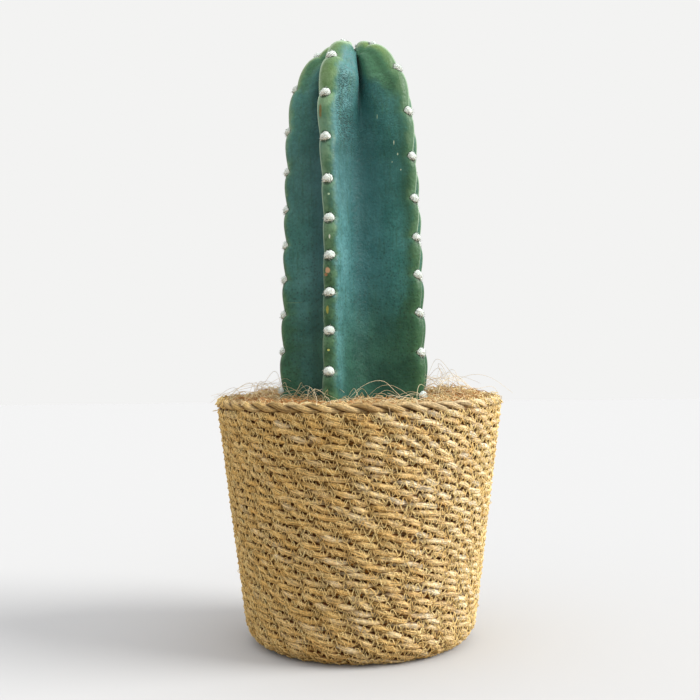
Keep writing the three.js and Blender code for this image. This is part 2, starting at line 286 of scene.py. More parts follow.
def object_place():
    return node("ShaderNodeTexCoord", out="Object")


def mesh_of(name, points, faces=(), edges=(), **values):
    """A mesh from points in millimetres, with named values on them."""
    mesh = bpy.data.meshes.new(name)
    mesh.from_pydata(np.asarray(points, float) / 1000, edges, faces)
    for label, value in values.items():
        value = np.asarray(value, np.float32)
        kind, field = ("FLOAT", "value") if value.ndim == 1 else ("FLOAT_VECTOR", "vector")
        layer = mesh.attributes.new(label, kind, "POINT")
        layer.data.foreach_set(field, value.ravel())
    return mesh


def keep(name, mesh, slot, *nodes, finish_with=None):
    """Stands a finished mesh in the scene as a piece of the plant."""
    piece = bpy.data.objects.new(name, mesh)
    bpy.context.scene.collection.objects.link(piece)
    if finish_with is not None:
        mesh.materials.clear()
        mesh.materials.append(finish_with)
    mesh.shade_smooth()
    mesh.calc_loop_triangles()
    print(name, len(mesh.loop_triangles), "triangles")
    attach(piece, "root")
    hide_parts(*nodes)


# %% [markdown]
# ## Two effects that several materials share
#
# Seagrass, coconut fibre and thread are dry plant fibre: fine streaks run along them, and never
# across. The first group reads a point's place round and along its strand, so the streaks follow
# every twist. The second group gives skin, wool, plastic and soil their cloudy patches, and small
# dots scattered at random.

# %% Fibre grain, and mottle with dots
grain, given, end = shader_group(
    "fibre grain",
    {"Around": (0.0, 0.0, 0.0), "Along": 0.0, "Fineness": 2.0, "Stretch": 60.0},
    ["Streak", "Height"],
)
drawn_out = combined(0.0, 0.0, given["Along"] * given["Stretch"])
streaks = noise(given["Around"] * given["Fineness"] + drawn_out, 1.0, 3.0, 0.6)
link(ramp(streaks, 0.3, 0.7), end.inputs["Streak"])
link(streaks, end.inputs["Height"])

speckle, given, end = shader_group(
    "mottle and dots",
    {"Vector": (0.0, 0.0, 0.0), "Patch Scale": 40.0, "Dot Scale": 300.0, "Dot Size": 0.2},
    ["Mottle", "Dots"],
)
patches = noise(given["Vector"], given["Patch Scale"], 4.0, 0.6)
cells = {"Vector": given["Vector"], "Scale": given["Dot Scale"], "Randomness": 1.0}
to_nearest = node("ShaderNodeTexVoronoi", cells, "Distance")
link(ramp(patches, 0.3, 0.7), end.inputs["Mottle"])
link(ramp(to_nearest, given["Dot Size"], 0.0), end.inputs["Dots"])


# %% A finish of mottle and dots alone
def mottled(name, gloss, scales, tones, rough, depth, dots=None):
    """Cloudy patches between two tones, with a share of a third tone in the dots."""
    made, shader = material(name, Specular_IOR_Level=gloss)
    marks = dict(zip(("Patch_Scale", "Dot_Scale", "Dot_Size"), scales))
    marks = placed(speckle, Vector=object_place(), **marks)
    base = mix(marks["Mottle"], *tones)
    if dots is not None:
        base = mix(marks["Dots"] * dots[0], base, dots[1])
    finish(shader, base, ramp(marks["Mottle"], 0, 1, *rough), marks["Mottle"], depth)
    return made


# %% [markdown]
# ## Geometry Nodes by short calls
#
# A rope, its stitches, the wool and the loose fibres all repeat one form by a rule, which is work
# for Geometry Nodes. Each tree has named inputs for its sizes and ends by making its instances real
# and giving them their material. The result is taken as a plain mesh, so nothing is left to
# evaluate.


# %% A tree with named inputs, and the mesh that it grows
def geometry_tree(name, sizes):
    tree = begin(bpy.data.node_groups.new(name, "GeometryNodeTree"))
    for in_out in ("OUTPUT", "INPUT"):
        tree.interface.new_socket("Geometry", in_out=in_out, socket_type="NodeSocketGeometry")
    add_inputs(tree, sizes)
    tree.interface.new_socket("Material", in_out="INPUT", socket_type="NodeSocketMaterial")
    return tree, outputs_of(tree.nodes.new("NodeGroupInput"))


def end_tree(parts, given):
    """Joins the parts, makes them real and gives them their material."""
    join = node("GeometryNodeJoinGeometry", out=None)
    for part in parts:
        link(part, join.inputs[0])
    real = node("GeometryNodeRealizeInstances", {0: Value(join.outputs[0])})
    painted = {"Geometry": real, "Material": given["Material"]}
    node("NodeGroupOutput", {0: node("GeometryNodeSetMaterial", painted)}, out=None)


def grown(name, source, tree, **inputs):
    """The plain mesh that a tree makes of a source mesh."""
    carrier = bpy.data.objects.new(name, source)
    bpy.context.scene.collection.objects.link(carrier)
    modifier = carrier.modifiers.new("grow", "NODES")
    modifier.node_group = tree
    by_name = {s.name: s.identifier for s in tree.interface.items_tree if s.in_out == "INPUT"}
    for label, value in inputs.items():
        modifier[by_name[label.replace("_", " ")]] = value
    graph = bpy.context.evaluated_depsgraph_get()
    mesh = bpy.data.meshes.new_from_object(
        carrier.evaluated_get(graph), preserve_all_data_layers=True, depsgraph=graph
    )
    bpy.data.objects.remove(carrier)
    mesh.name = name
    return mesh


def named(name, kind="FLOAT"):
    return node("GeometryNodeInputNamedAttribute", {"Name": name}, data_type=kind)


def stored(geometry, name, value):
    kind = "FLOAT_VECTOR" if value.is_vector else "FLOAT"
    inputs = {"Geometry": geometry, "Name": name, "Value": value}
    return node("GeometryNodeStoreNamedAttribute", inputs, data_type=kind, domain="POINT")


def position():
    return node("GeometryNodeInputPosition")


def moved(geometry, offset):
    return node("GeometryNodeSetPosition", {"Geometry": geometry, "Offset": offset})


def swept(curve, radius, sides):
    """A curve made into a closed strand, with each point's place round it as a value."""
    circle = node("GeometryNodeCurvePrimitiveCircle", {"Resolution": sides, 4: 1.0})
    circle = stored(circle, "around", position())
    inputs = {"Curve": curve, "Profile Curve": circle, "Scale": radius, "Fill Caps": True}
    return node("GeometryNodeCurveToMesh", inputs)


# %% [markdown]
# ## The path of the basket's rope
#
# A coiled basket is one rope from start to end. It starts as a flat spiral in the middle of the
# base, bends up round the corner and climbs the leaning wall row by row. The path is worked out
# once along the basket's outer face. Each point keeps the direction that faces out of the basket
# and its distance from the start, so the twist runs on without a break where the path is cut in
# pieces.

# %% The basket's outline
TOP_RADIUS = 120
BASE_RADIUS = 97
HEIGHT = 205
CORNER_RADIUS = 21
RIM_ROPE_RADIUS = 4.3
GAP = 0.3
ROWS = 36
ROPE_DEPTH = 4.4

lean = math.atan2(TOP_RADIUS - BASE_RADIUS, HEIGHT - CORNER_RADIUS)
wall_top = HEIGHT - 2 * RIM_ROPE_RADIUS - GAP
corner_centre = BASE_RADIUS - CORNER_RADIUS * math.cos(lean)
corner_length = CORNER_RADIUS * (math.pi / 2 - lean)
wall_foot = CORNER_RADIUS * (1 - math.sin(lean))
wall_length = corner_length + (wall_top - wall_foot) / math.cos(lean)
row_pitch = wall_length / ROWS


def outer_face(reach):
    """Radius, height and outward direction at a distance from the middle of the base."""
    turn = np.clip((reach - corner_centre) / CORNER_RADIUS, 0, math.pi / 2 - lean)
    up = np.clip(reach - corner_centre - corner_length, 0, None)
    radius = np.minimum(reach, corner_centre) + CORNER_RADIUS * np.sin(turn) + up * math.sin(lean)
    height = CORNER_RADIUS * (1 - np.cos(turn)) + up * math.cos(lean)
    return radius, height, np.sin(turn), -np.cos(turn)


# %% The rope's path
def round_path(reach, angle, depth):
    """Points at a depth below the outer face, with their outward directions."""
    radius, height, out_side, out_up = outer_face(reach)
    inward = radius - depth * out_side
    points = np.stack([inward * np.cos(angle), inward * np.sin(angle), height - depth * out_up], 1)
    outward = np.stack([out_side * np.cos(angle), out_side * np.sin(angle), out_up], 1)
    return points, outward


START = 3.0
END = corner_centre + wall_length + 0.4 * row_pitch
SOURCE_STEP = 3.0
WAVES = [(0.5, 3, 14), (0.35, 8, -9), (0.3, 17, 5)]  # height, number round the basket, lean

turns = np.arange(START / row_pitch, END / row_pitch, 0.001) * 2 * math.pi
path, outward = round_path(turns * row_pitch / (2 * math.pi), turns, ROPE_DEPTH)
run = np.concatenate([[0], np.cumsum(np.linalg.norm(np.diff(path, axis=0), axis=1))])
stops = np.arange(0, run[-1], SOURCE_STEP)
turns = np.interp(stops, run, turns)
reach = turns * row_pitch / (2 * math.pi)
path, outward = round_path(reach, turns, ROPE_DEPTH)
height = path[:, 2]
wave = sum(high * np.sin(count * turns + height / drift) for high, count, drift in WAVES)
path[:, 2] += wave * np.clip((height - 12) / 20, 0, 1) * np.clip((wall_top - height) / 15, 0, 1)
print("rope", round(run[-1] / 1000, 1), "m in rows", round(row_pitch, 2), "mm apart")


def rope_source(first, last):
    """The stretch of the path between two distances from the middle of the base."""
    inside = np.flatnonzero((reach >= first) & (reach <= last))
    inside = np.append(inside, min(inside[-1] + 1, len(path) - 1))
    edges = [(i, i + 1) for i in range(len(inside) - 1)]
    values = {"outward": outward[inside], "run": stops[inside] / 1000}
    return mesh_of("path", path[inside], edges=edges, **values)


# %% [markdown]
# ## A twisted rope
#
# Two strands wind round each other. Where a strand comes to the outside it makes one of the long
# slanting lumps of a row, and dark slits are left where it dives. A texture would leave the outline
# flat, so both strands are real. The tree moves a copy of the path in a circle round itself, lets
# it wander a little as grass does, and sweeps it. No hand twists evenly, so the rope turns faster
# in some places than in others, and no two rows have their lumps in step.

# %% The tree for ropes
STRANDS = 2
STRAND_SIDES = 8
ROPE_LAY = {"Strand Offset": 0.002, "Lay": 0.039, "Ease": 3.2}


def even_line(given):
    """The path in even steps, its directions out and to the side, and the distance along it."""
    line = {"Curve": node("GeometryNodeMeshToCurve", {"Mesh": given["Geometry"]})}
    line = node("GeometryNodeResampleCurve", {**line, "Length": given["Step"]}, mode="LENGTH")
    out = calc("NORMALIZE", named("outward", "FLOAT_VECTOR"))
    side = calc("CROSS_PRODUCT", node("GeometryNodeInputTangent"), out)
    return line, out, side, named("run")


def twist(run, given):
    """How far the rope has turned at a distance along it: here a little faster, there slower."""
    ease = noise(combined(run), 6.0)
    return (ease * given["Ease"] + run / given["Lay"]) * (2 * math.pi)


def rope_tree():
    tree, given = geometry_tree(
        "twisted rope",
        {"Step": 0.0026, "Strand Radius": 0.00258, **ROPE_LAY, "Wander": 0.0008,
         "Unevenness": 0.7, "Bulge": 0.28, "All Round": 0.0},
    )
    line, out, side, run = even_line(given)
    line = stored(line, "axis", position())
    twisted = twist(run, given)
    strands = []
    for strand in range(STRANDS):
        turn = twisted + 2 * math.pi * strand / STRANDS
        outer = calc("COSINE", turn)
        round_it = (out * outer + side * calc("SINE", turn)) * given["Strand Offset"]
        stray = noise(combined(run, float(strand)), 90.0, out="Color") - (0.5, 0.5, 0.5)
        one = moved(line, round_it + stray * 2.0 * given["Wander"])
        along = run + 3.7 * strand
        one = stored(one, "along", along)
        one = stored(one, "outer", calc("MAXIMUM", outer, given["All Round"]))
        lump = calc("ROUND", turn / (2 * math.pi)) + strand / STRANDS
        tone = node("ShaderNodeTexWhiteNoise", {"W": lump}, "Value", noise_dimensions="1D")
        one = stored(one, "tone", tone)
        fat = (noise(combined(along), 70.0, 1.0) - 0.5) * given["Unevenness"] + 1.0
        fat = (outer * given["Bulge"] + fat) * given["Strand Radius"]
        one = swept(one, fat, STRAND_SIDES)
        away = calc("NORMALIZE", position() - named("axis", "FLOAT_VECTOR"))
        facing = {"Factor": given["All Round"], 4: out, 5: away}
        open_to = node("ShaderNodeMix", facing, 1, data_type="VECTOR")
        strands.append(stored(one, "outward", open_to))
    end_tree(strands, given)
    return tree


twisted_rope = rope_tree()

# %% [markdown]
# ## The colour of seagrass
#
# No two blades of dried seagrass have the same colour. One lump of a strand is cream, the next is
# straw or a pale brown, and patches of gold run over several rows. Painted light makes the basket
# paler on the right, where the lamp falls, and adds gold on the left for warm bounced light. Fine
# streaks follow the strand, and painted shade darkens the slits, which the material finds where a
# strand lies deep or turns away from the outside.


# %% Seagrass
def seagrass(name, tones, dark, roughness, shade=(0.46, 0.92), painted_side_light=(0.4, -0.22)):
    """A material for strands. Its last pair is how much gold painted light adds at the far left and
    far right.
    """
    made, shader = material(name, Specular_IOR_Level=0.25)
    along, around = attribute("along"), attribute("around", "Vector")
    place = object_place()
    fibres = placed(grain, Around=around, Along=along, Fineness=3.2, Stretch=110.0)
    crossed = placed(speckle, Vector=place, Patch_Scale=620.0, Dot_Scale=500.0, Dot_Size=0.25)
    blade = ramp(noise(combined(along), 52.0, 2.0, 0.6), 0.25, 0.75, smooth=False) * 0.3
    chosen = attribute("tone") * 0.7 + blade
    shades = node("ShaderNodeValToRGB", {0: chosen}, None)
    stops = shades.color_ramp.elements
    for share, tone in zip(np.linspace(0, 1, len(tones)), tones):
        stop = stops.new(share) if 0 < share < 1 else stops[int(share) and len(stops) - 1]
        stop.color = colour(*tone)
    # patches of gold, and painted light: more gold far left for warm bounced light, less far right
    golden_and_side_light = noise(place, 26.0, 3.0, 0.6) + ramp(place.x, -0.12, 0.12, *painted_side_light)
    base = mix(ramp(golden_and_side_light, 0.4, 0.8, 0.0, 0.7), Value(shades.outputs[0]), (215, 180, 108))
    # painted light: paler cream towards the right, where the lamp falls
    base = mix(ramp(place.x, 0.0, 0.12, 0.0, 0.32), base, (255, 244, 220))
    streak = ramp(fibres["Streak"], 0.0, 1.0, 0.5, 1.3)
    base = base * (streak * ramp(crossed["Mottle"], 0.0, 1.0, 0.86, 1.14))
    # painted shade: darker where a strand lies deep or turns away from the outside, as in the slits
    normal = node("ShaderNodeNewGeometry", out="Normal")
    facing = calc("DOT_PRODUCT", normal, attribute("outward", "Vector"), out=1)
    deep = ramp(attribute("outer"), -0.6, 0.6, 0.2, 1.0)
    base = mix(ramp(facing, *shade) * deep, dark, base)
    rough = ramp(fibres["Streak"], 0.0, 1.0, roughness + 0.12, roughness - 0.08)
    finish(shader, base, rough, crossed["Mottle"] * 0.4 + fibres["Height"], 0.0013)
    return made


rope_finish = seagrass(
    "seagrass rope",
    [(255, 245, 216), (246, 217, 156), (224, 186, 120), (255, 239, 200), (242, 209, 146),
     (206, 166, 100), (255, 249, 226), (234, 198, 132)],
    dark=(92, 52, 10),
    roughness=0.72,
)

# %% The rope of the base and the wall
CUTS = [0, corner_centre + 0.8 * corner_length, corner_centre + 0.6 * wall_length, END + 1]
STEPS = [0.0035, 0.0026, 0.0026]
for label, first, last, step in zip(["base", "lower", "upper"], CUTS, CUTS[1:], STEPS):
    mesh = grown("rope", rope_source(first, last), twisted_rope, Step=step, Material=rope_finish)
    keep(f"basket_rope_{label}", mesh, "seagrass_rope", "basket_body")

# %% [markdown]
# ## The wall behind the rope
#
# The rows press against each other on the inside, where they make a closed wall. Only its darkness
# shows, in the slits between the strands, so a plain turned shell stands for it, coloured as
# seagrass in painted shade.

# %% A turned shell
LINING_SIDES = 96
LINING_DEPTHS = (3.7, 6.6)  # of its outer and its inner face below the basket's outer face


def turned_faces(rings, sides):
    """Faces between rings of points, and from the first and last ring to two end points."""
    faces = []
    for i in range(sides):
        j = (i + 1) % sides
        faces.append((0, 2 + j, 2 + i))
        for low in range(2, 2 + (rings - 1) * sides, sides):
            faces.append((low + i, low + j, low + sides + j, low + sides + i))
        top = 2 + (rings - 1) * sides
        faces.append((1, top + i, top + j))
    return faces


# painted shade: the shell's brown is the inner wall's grass as it looks in shade
lining_in_painted_shade = mottled(
    "seagrass in shade", 0.1, (60.0, 400.0), ((132, 84, 32), (176, 122, 56)), (0.85, 0.95), 0.0004
)
reaches = corner_centre + np.append(np.linspace(0, corner_length, 9), wall_length - 1.0)
outer, inner = (round_path(reaches, 0 * reaches, depth)[0][:, [0, 2]] for depth in LINING_DEPTHS)
angles = np.arange(LINING_SIDES) * 2 * math.pi / LINING_SIDES
points = [(0, 0, depth) for depth in LINING_DEPTHS]
rings = [*outer, *inner[::-1]]
points += [(r * math.cos(a), r * math.sin(a), z) for r, z in rings for a in angles]
lining = mesh_of("lining", points, turned_faces(len(rings), LINING_SIDES))
keep("basket_lining", lining, "seagrass_rope", "basket_body", finish_with=lining_in_painted_shade)

# %% [markdown]
# ## The stitches
#
# A thin pale thread holds each row to the one below. It runs in a zigzag over the rope, so every
# row carries a line of narrow peaks, none quite like the next. The tree walks along the rope's
# path, moves every fourth point down into the groove and every fourth one up into the groove above,
# and lifts the points between them over the rope. A second thread runs a little out of step and
# crosses the first. Both follow the lumps, because they reckon the twist as the rope does.


# %% The tree for the zigzag thread
def zigzag_tree():
    tree, given = geometry_tree(
        "zigzag thread",
        {"Step": 0.0015, "Reach": 0.004, "Cover": 0.0035, "Sink": 0.0028, "Radius": 0.00036,
         "Jitter": 0.0016, **ROPE_LAY},
    )
    line, out, side, run = even_line(given)
    hill = abs(calc("COSINE", twist(run, given))) * given["Strand Offset"] + given["Cover"]
    threads = []
    for thread in range(2):
        quarter_turns = node("GeometryNodeInputIndex") * (math.pi / 2)
        turn = quarter_turns + thread * math.pi / 4
        chance = noise(combined(run, 1.0 + thread), 420.0, 1.0, out="Color")
        tall = ramp(chance.x, 0.25, 0.75, 0.3, 1.5, smooth=False)
        loose = ramp(chance.z, 0.62, 0.75, 0.0, 0.0012)
        over = abs(calc("COSINE", turn))
        swing = calc("SINE", turn) * tall * given["Reach"]
        lift = over * (hill + loose - given["Sink"]) + given["Sink"]
        slide = ramp(chance.y, 0.25, 0.75, -1.0, 1.0, smooth=False) * given["Jitter"]
        tangent = node("GeometryNodeInputTangent")
        shifted = moved(line, side * swing + out * lift + tangent * slide)
        threads.append(swept(stored(shifted, "along", run), given["Radius"], 3))
    end_tree(threads, given)
    return tree


zigzag = zigzag_tree()

# %% The thread's finish, and the thread on the wall
thread_finish, shader = material("sewing grass", Specular_IOR_Level=0.3)
along = attribute("along")
around = attribute("around", "Vector")
fibres = placed(grain, Around=around, Along=along, Fineness=1.5, Stretch=90.0)
piecewise = ramp(noise(combined(along), 60.0), 0.3, 0.7)
base = mix(piecewise, (242, 204, 128), (255, 236, 174))
rough = ramp(fibres["Streak"], 0, 1, 0.6, 0.8)
finish(shader, base, rough, fibres["Height"], 0.0002)

THREAD_CUTS = [corner_centre + 2, *CUTS[2:]]
for label, first, last in zip(["lower", "upper"], THREAD_CUTS, THREAD_CUTS[1:]):
    mesh = grown("thread", rope_source(first, last), zigzag, Material=thread_finish)
    keep(f"basket_stitches_{label}", mesh, "seagrass_rope", "basket_body")

# %% [markdown]
# ## The rim
#
# A smoother rope finishes the rim. It looks thicker than the rows, because no row presses into it.
# It is the same tree on a level circle with sizes of its own, open to the air all round. Its path
# closes on itself, and the twist fits a whole number of times into it, so no seam shows. Two
# stretches are sewn down with thread.

# %% The rim's rope
RIM_TURNS = 21
rim_radius = TOP_RADIUS - RIM_ROPE_RADIUS
rim_height = HEIGHT - RIM_ROPE_RADIUS
rim_lay = 2 * math.pi * rim_radius / 1000 / RIM_TURNS


def rim_path(name, stretches, upward):
    """Lines on the rim through angles in degrees, which face out and partly upward."""
    points, outwards, runs, edges = [], [], [], []
    for angles in stretches:
        angles = np.radians(angles)
        edges += [(len(points) + i, len(points) + i + 1) for i in range(len(angles) - 1)]
        points += [(rim_radius * np.cos(a), rim_radius * np.sin(a), rim_height) for a in angles]
        outwards += [(np.cos(a), np.sin(a), upward) for a in angles]
        runs += [a * rim_radius / 1000 for a in angles]
    return mesh_of(name, points, edges=edges, outward=outwards, run=runs)


rim_finish = seagrass(
    "seagrass rim",
    [(226, 204, 162), (196, 167, 118), (168, 137, 90), (220, 196, 150), (184, 152, 103)],
    dark=(82, 50, 22),
    roughness=0.62,
    shade=(0.22, 0.84),
    painted_side_light=(0.14, 0.04),
)
mesh = grown(
    "rim", rim_path("rim path", [np.arange(361)], 0), twisted_rope, Step=0.0018,
    Strand_Radius=0.0023, Strand_Offset=0.0021, Lay=rim_lay, Ease=0.0, Wander=0.00045,
    Unevenness=0.3, Bulge=0.1, All_Round=1.0, Material=rim_finish,
)
keep("rim_rope", mesh, "seagrass_rim", "basket_rim_rope")

# %% Threads over both ends of the rim
SEWN = [np.arange(-44, 41), np.arange(170, 203)]
mesh = grown(
    "rim thread", rim_path("sewn rim", SEWN, 0.8), zigzag, Step=0.0017, Reach=0.0055,
    Sink=0.001, Cover=0.0032, Jitter=0.002, Lay=rim_lay, Ease=0.0, Material=thread_finish,
)
keep("rim_stitches", mesh, "seagrass_rim", "basket_rim_rope")

# %% [markdown]
# ## The form of the stem
#
# The stem is a rule as well: five ribs round an axis, each with a round crest, hollow flanks and a
# woolly cushion every three centimetres or so. Between two cushions the crest swells. The skin is
# built as rings of points, one ring every two millimetres or so, and each rib counts its own
# distance from the tip, so its swellings meet its own cushions. Points keep their distance from the
# crest, from the tip and from the nearest cushion for the colours later.

# %% The outline of crest and valley
# radius and height of a crest, then of the valley beside it, from the tip to the buried foot
STEM_OUTLINE = np.array(
    [[0, 499, 0, 499], [9, 504, 3, 494], [23, 499.5, 8, 487], [37.5, 487, 13.5, 476],
     [48.2, 468, 18, 459], [54.6, 436, 22, 433], [56.2, 395, 25, 394], [58, 330, 27, 330],
     [60.3, 262, 28.5, 262], [62.5, 205, 29.5, 205], [60.5, 165, 29, 165], [52, 133, 27, 132],
     [38, 110, 22, 107], [18, 99, 12, 97], [0, 96, 0, 96]],
    float,
)


def smooth_curve(points, t):
    """A smooth curve through the rows of points, with t from 0 to 1."""
    last = len(points) - 1
    padded = np.vstack([2 * points[0] - points[1], points, 2 * points[-1] - points[-2]])
    step = np.clip(np.floor(t * last).astype(int), 0, last - 1)
    share = (t * last - step)[..., None]
    before, start, stop, after = (padded[step + k] for k in range(4))
    leave, arrive = (stop - before) / 2, (after - start) / 2
    square = -3 * start + 3 * stop - 2 * leave - arrive
    cube = 2 * start - 2 * stop + leave + arrive
    return start + leave * share + square * share**2 + cube * share**3


fine = np.linspace(0, 1, 6001)
crest_line = smooth_curve(STEM_OUTLINE[:, :2], fine)
crest_run = np.concatenate([[0], np.cumsum(np.hypot(*np.diff(crest_line, axis=0).T))])
print("crest", round(crest_run[-1]), "mm from tip to foot")


def outline_at(along):
    """Crest point, valley point and the crest's outward direction at a distance from the tip."""
    t = np.interp(along, crest_run, fine)
    both = smooth_curve(STEM_OUTLINE, t)
    below, above = np.minimum(t + 1e-4, 1), np.maximum(t - 1e-4, 0)
    tangent = smooth_curve(STEM_OUTLINE, below) - smooth_curve(STEM_OUTLINE, above)
    outward = np.stack([-tangent[..., 1], tangent[..., 0]], -1)
    outward /= np.linalg.norm(outward, axis=-1, keepdims=True)
    return both[..., :2], both[..., 2:], outward


# %% The five ribs
# azimuth and turn in degrees, first cushion in mm from the tip, and how its spacing compares
RIBS = [(-92, -6, 10.7, 0.98), (-20, -12, 3.4, 0.99), (61, -12, 5.6, 1.03), (107, 15, 8.2, 1.0),
        (191, 0, 4.6, 0.98)]
# how far the bloom has rubbed off the left and the right flank of each rib; the same value also
# lightens that flank as painted fill light
WEAR_AND_FILL = [(0.6, 0.5), (0.5, 0.1), (1.0, 0.6), (0.7, 0.6), (0.5, 0.7)]
STEM_OFFSET_X = -2.5
AREOLE_SPACING = 34
AREOLES_PER_RIB = 12
BURIED_FROM = 352


def ease(x, low, high):
    share = np.clip((np.asarray(x, float) - low) / (high - low), 0, 1)
    return share * share * (3 - 2 * share)


def direction(rib, along):
    azimuth, turn, _, _ = rib
    left = 1 - (ease(along, 60, 210) + ease(along, 0, 60)) / 2
    return np.radians(azimuth + turn * left - 90)


def areoles_of(rib):
    """The distances of a rib's cushions from the tip, which good and poor seasons set."""
    places = [rib[2]]
    while len(places) <= AREOLES_PER_RIB:
        here = places[-1]
        season = AREOLE_SPACING + 4 * math.cos(2 * math.pi * (here - 43) / 330)
        places.append(here + rib[3] * season * (1 - 0.75 * math.exp(-here / 15)))
    return np.array(places)


AREOLES = [areoles_of(rib) for rib in RIBS]
print("cushions", [round(float(p)) for p in AREOLES[1]], "mm from the tip on the front rib")

# %% One half of a rib's section
CREST_HALF_THICKNESS = 6.6
CREST_BULGE = 3.2
CREST_TURNS = np.radians([0, 9, 19, 30, 41, 53, 66, 78, 88])
FLANK_STEPS = 14


def half_rib(along, lift, valley_along, half_angle):
    """Points from the crest to the valley, as distances out, across and up, for every ring.

    The crest is a round. A cubic curve makes the flank, fuller near the tip, where young ribs
    stand close and meet in a narrow crease.
    """
    crest, _, outward = outline_at(along)
    crest = crest + outward * lift[:, None]
    young = 1 - ease(along, 50, 150)
    thickness = CREST_HALF_THICKNESS * (1 + 0.55 * young)
    round_off = np.minimum(thickness, crest[:, 0] * np.tan(half_angle) * 0.62)[:, None]
    sink = round_off * (1 - np.cos(CREST_TURNS))
    out = crest[:, :1] - sink * outward[:, :1]
    across = round_off * np.sin(CREST_TURNS)
    up = crest[:, 1:] - sink * outward[:, 1:]
    _, valley, _ = outline_at(valley_along)
    start = np.stack([out[:, -1], across[:, -1]], -1)
    stop = valley[:, :1] * np.stack([np.cos(half_angle), np.sin(half_angle)], -1)
    length = np.linalg.norm(stop - start, axis=1, keepdims=True)
    fuller = ease(along, 8, 30) * (1 - ease(along, 40, 110))
    inward = np.stack([-np.ones_like(along), 0.1 + 0.55 * fuller], -1)
    leave = start + length * 0.5 * inward / np.linalg.norm(inward, axis=1, keepdims=True)
    turn = half_angle - math.pi / 2 + np.radians(70) * young + np.radians(14) * fuller
    hold = (0.36 + 0.42 * fuller)[:, None]
    arrive = stop + length * hold * np.stack([np.cos(turn), np.sin(turn)], -1)
    share = np.linspace(0, 1, FLANK_STEPS + 1)[1:][None, :, None]
    a, b, c, d = (p[:, None, :] for p in (start, leave, arrive, stop))
    rest = 1 - share
    flank = a * rest**3 + 3 * b * rest**2 * share + 3 * c * rest * share**2 + d * share**3
    foot = up[:, -1:] + (valley[:, 1:] - up[:, -1:]) * share[:, :, 0]
    sections = ((out, flank[..., 0]), (across, flank[..., 1]), (up, foot))
    return np.stack([np.hstack(pair) for pair in sections], -1)


# %% All rings of the skin
PER_GAP = 20
LAST_RING = 465
dome = np.linspace(0, 1, 8)[1:-1]
buried = np.linspace(0, 1, 10)[1:]


def rings_of(areoles):
    """For each ring the rib's distance from the tip and the swelling of its crest."""
    share = np.arange(PER_GAP) / PER_GAP
    gaps = [low + share * (high - low) for low, high in zip(areoles, areoles[1:])]
    foot = areoles[-1] + buried * (LAST_RING - areoles[-1])
    along = np.concatenate([dome * areoles[0], *gaps, foot])
    swell = np.concatenate([0 * dome, np.tile(share, AREOLES_PER_RIB), 0 * buried])
    fade = np.minimum(1, along / 30) * (1 - ease(along, BURIED_FROM, BURIED_FROM + 25))
    return along, CREST_BULGE * np.sin(math.pi * swell**0.63) * fade


ringed = [rings_of(areoles) for areoles in AREOLES]
columns, marks = [], []
for i, rib in enumerate(RIBS):
    along, lift = ringed[i]
    centre = direction(rib, along)
    for flank, (side, other) in enumerate([(-1, (i - 1) % 5), (1, (i + 1) % 5)]):
        apart = ((direction(RIBS[other], along) - centre) * side) % (2 * math.pi)
        points = half_rib(along, lift, (along + ringed[other][0]) / 2, apart / 2)
        spacing = np.linalg.norm(np.diff(points, axis=1), axis=2)
        from_crest = np.hstack([np.zeros((len(along), 1)), np.cumsum(spacing, axis=1)])
        angle = centre[:, None] + side * np.arctan2(points[..., 1], points[..., 0])
        radius = np.hypot(points[..., 0], points[..., 1])
        x, y, z = radius * np.cos(angle) + STEM_OFFSET_X, radius * np.sin(angle), points[..., 2]
        nearest = np.abs(along[:, None] - AREOLES[i][None, :]).argmin(1)
        cushion = np.hypot((AREOLES[i][nearest] - along)[:, None], from_crest)
        along_all = np.repeat(along[:, None], from_crest.shape[1], 1)
        worn = np.full_like(from_crest, WEAR_AND_FILL[i][flank])
        share = from_crest / from_crest[:, -1:]
        order = slice(-2, 0, -1) if side < 0 else slice(None)
        columns.append(np.stack([x, y, z], -1)[:, order])
        marks.append(np.stack([from_crest, along_all, cushion, worn, share], -1)[:, order])
skin_points = np.concatenate(columns, 1)
skin_marks = np.concatenate(marks, 1)
print("skin", skin_points.shape[0], "rings of", skin_points.shape[1], "points")

# %% The skin as a closed mesh
# at the tip and the foot: off the crest, along it, off a cushion, wear and fill, share of the flank
END_MARKS = [[0, 0, 9, 0, 0], [0, 471, 9, 0, 0]]
levels, around_count = skin_points.shape[:2]
tip, foot = ([STEM_OFFSET_X, 0, STEM_OUTLINE[end, 1]] for end in (0, -1))
points = np.vstack([tip, foot, skin_points.reshape(-1, 3)])
marks = np.vstack([*END_MARKS, skin_marks.reshape(-1, 5)])
index = 2 + np.arange(levels * around_count).reshape(levels, around_count)
after = np.roll(index, -1, axis=1)
quads = np.stack([index[1:], after[1:], after[:-1], index[:-1]], -1).reshape(-1, 4)
faces = quads.tolist()
faces += [(0, int(a), int(b)) for a, b in zip(index[0], after[0])]
faces += [(1, int(b), int(a)) for a, b in zip(index[-1], after[-1])]
labels = ("off_crest", "along", "cushion", "worn", "share")
skin_mesh = mesh_of("skin", points, faces, **dict(zip(labels, marks.T)))

# %% [markdown]
# ## The skin's finish
#
# The skin is green, and a waxy bloom lies over it that turns it blue, most of all on the right. The
# bloom is rubbed off along the crests, which show plain green, yellower near the growing tip. Lower
# down it has gone in patches, where the skin is old and dark. The valleys are painted a deep
# blue-green as painted shade, and the flanks away from the lamp are lightened as painted fill light.
# Near the tip fine creases wind over the front rib's right flank, darkened in their folds by painted
# shade, and a painted highlight follows a crest that is seen edge-on. A ring of painted shade lies
# round each cushion. Old scars are brown and corky. All of these read the distances that the skin's
# points keep, or the place on the plant.

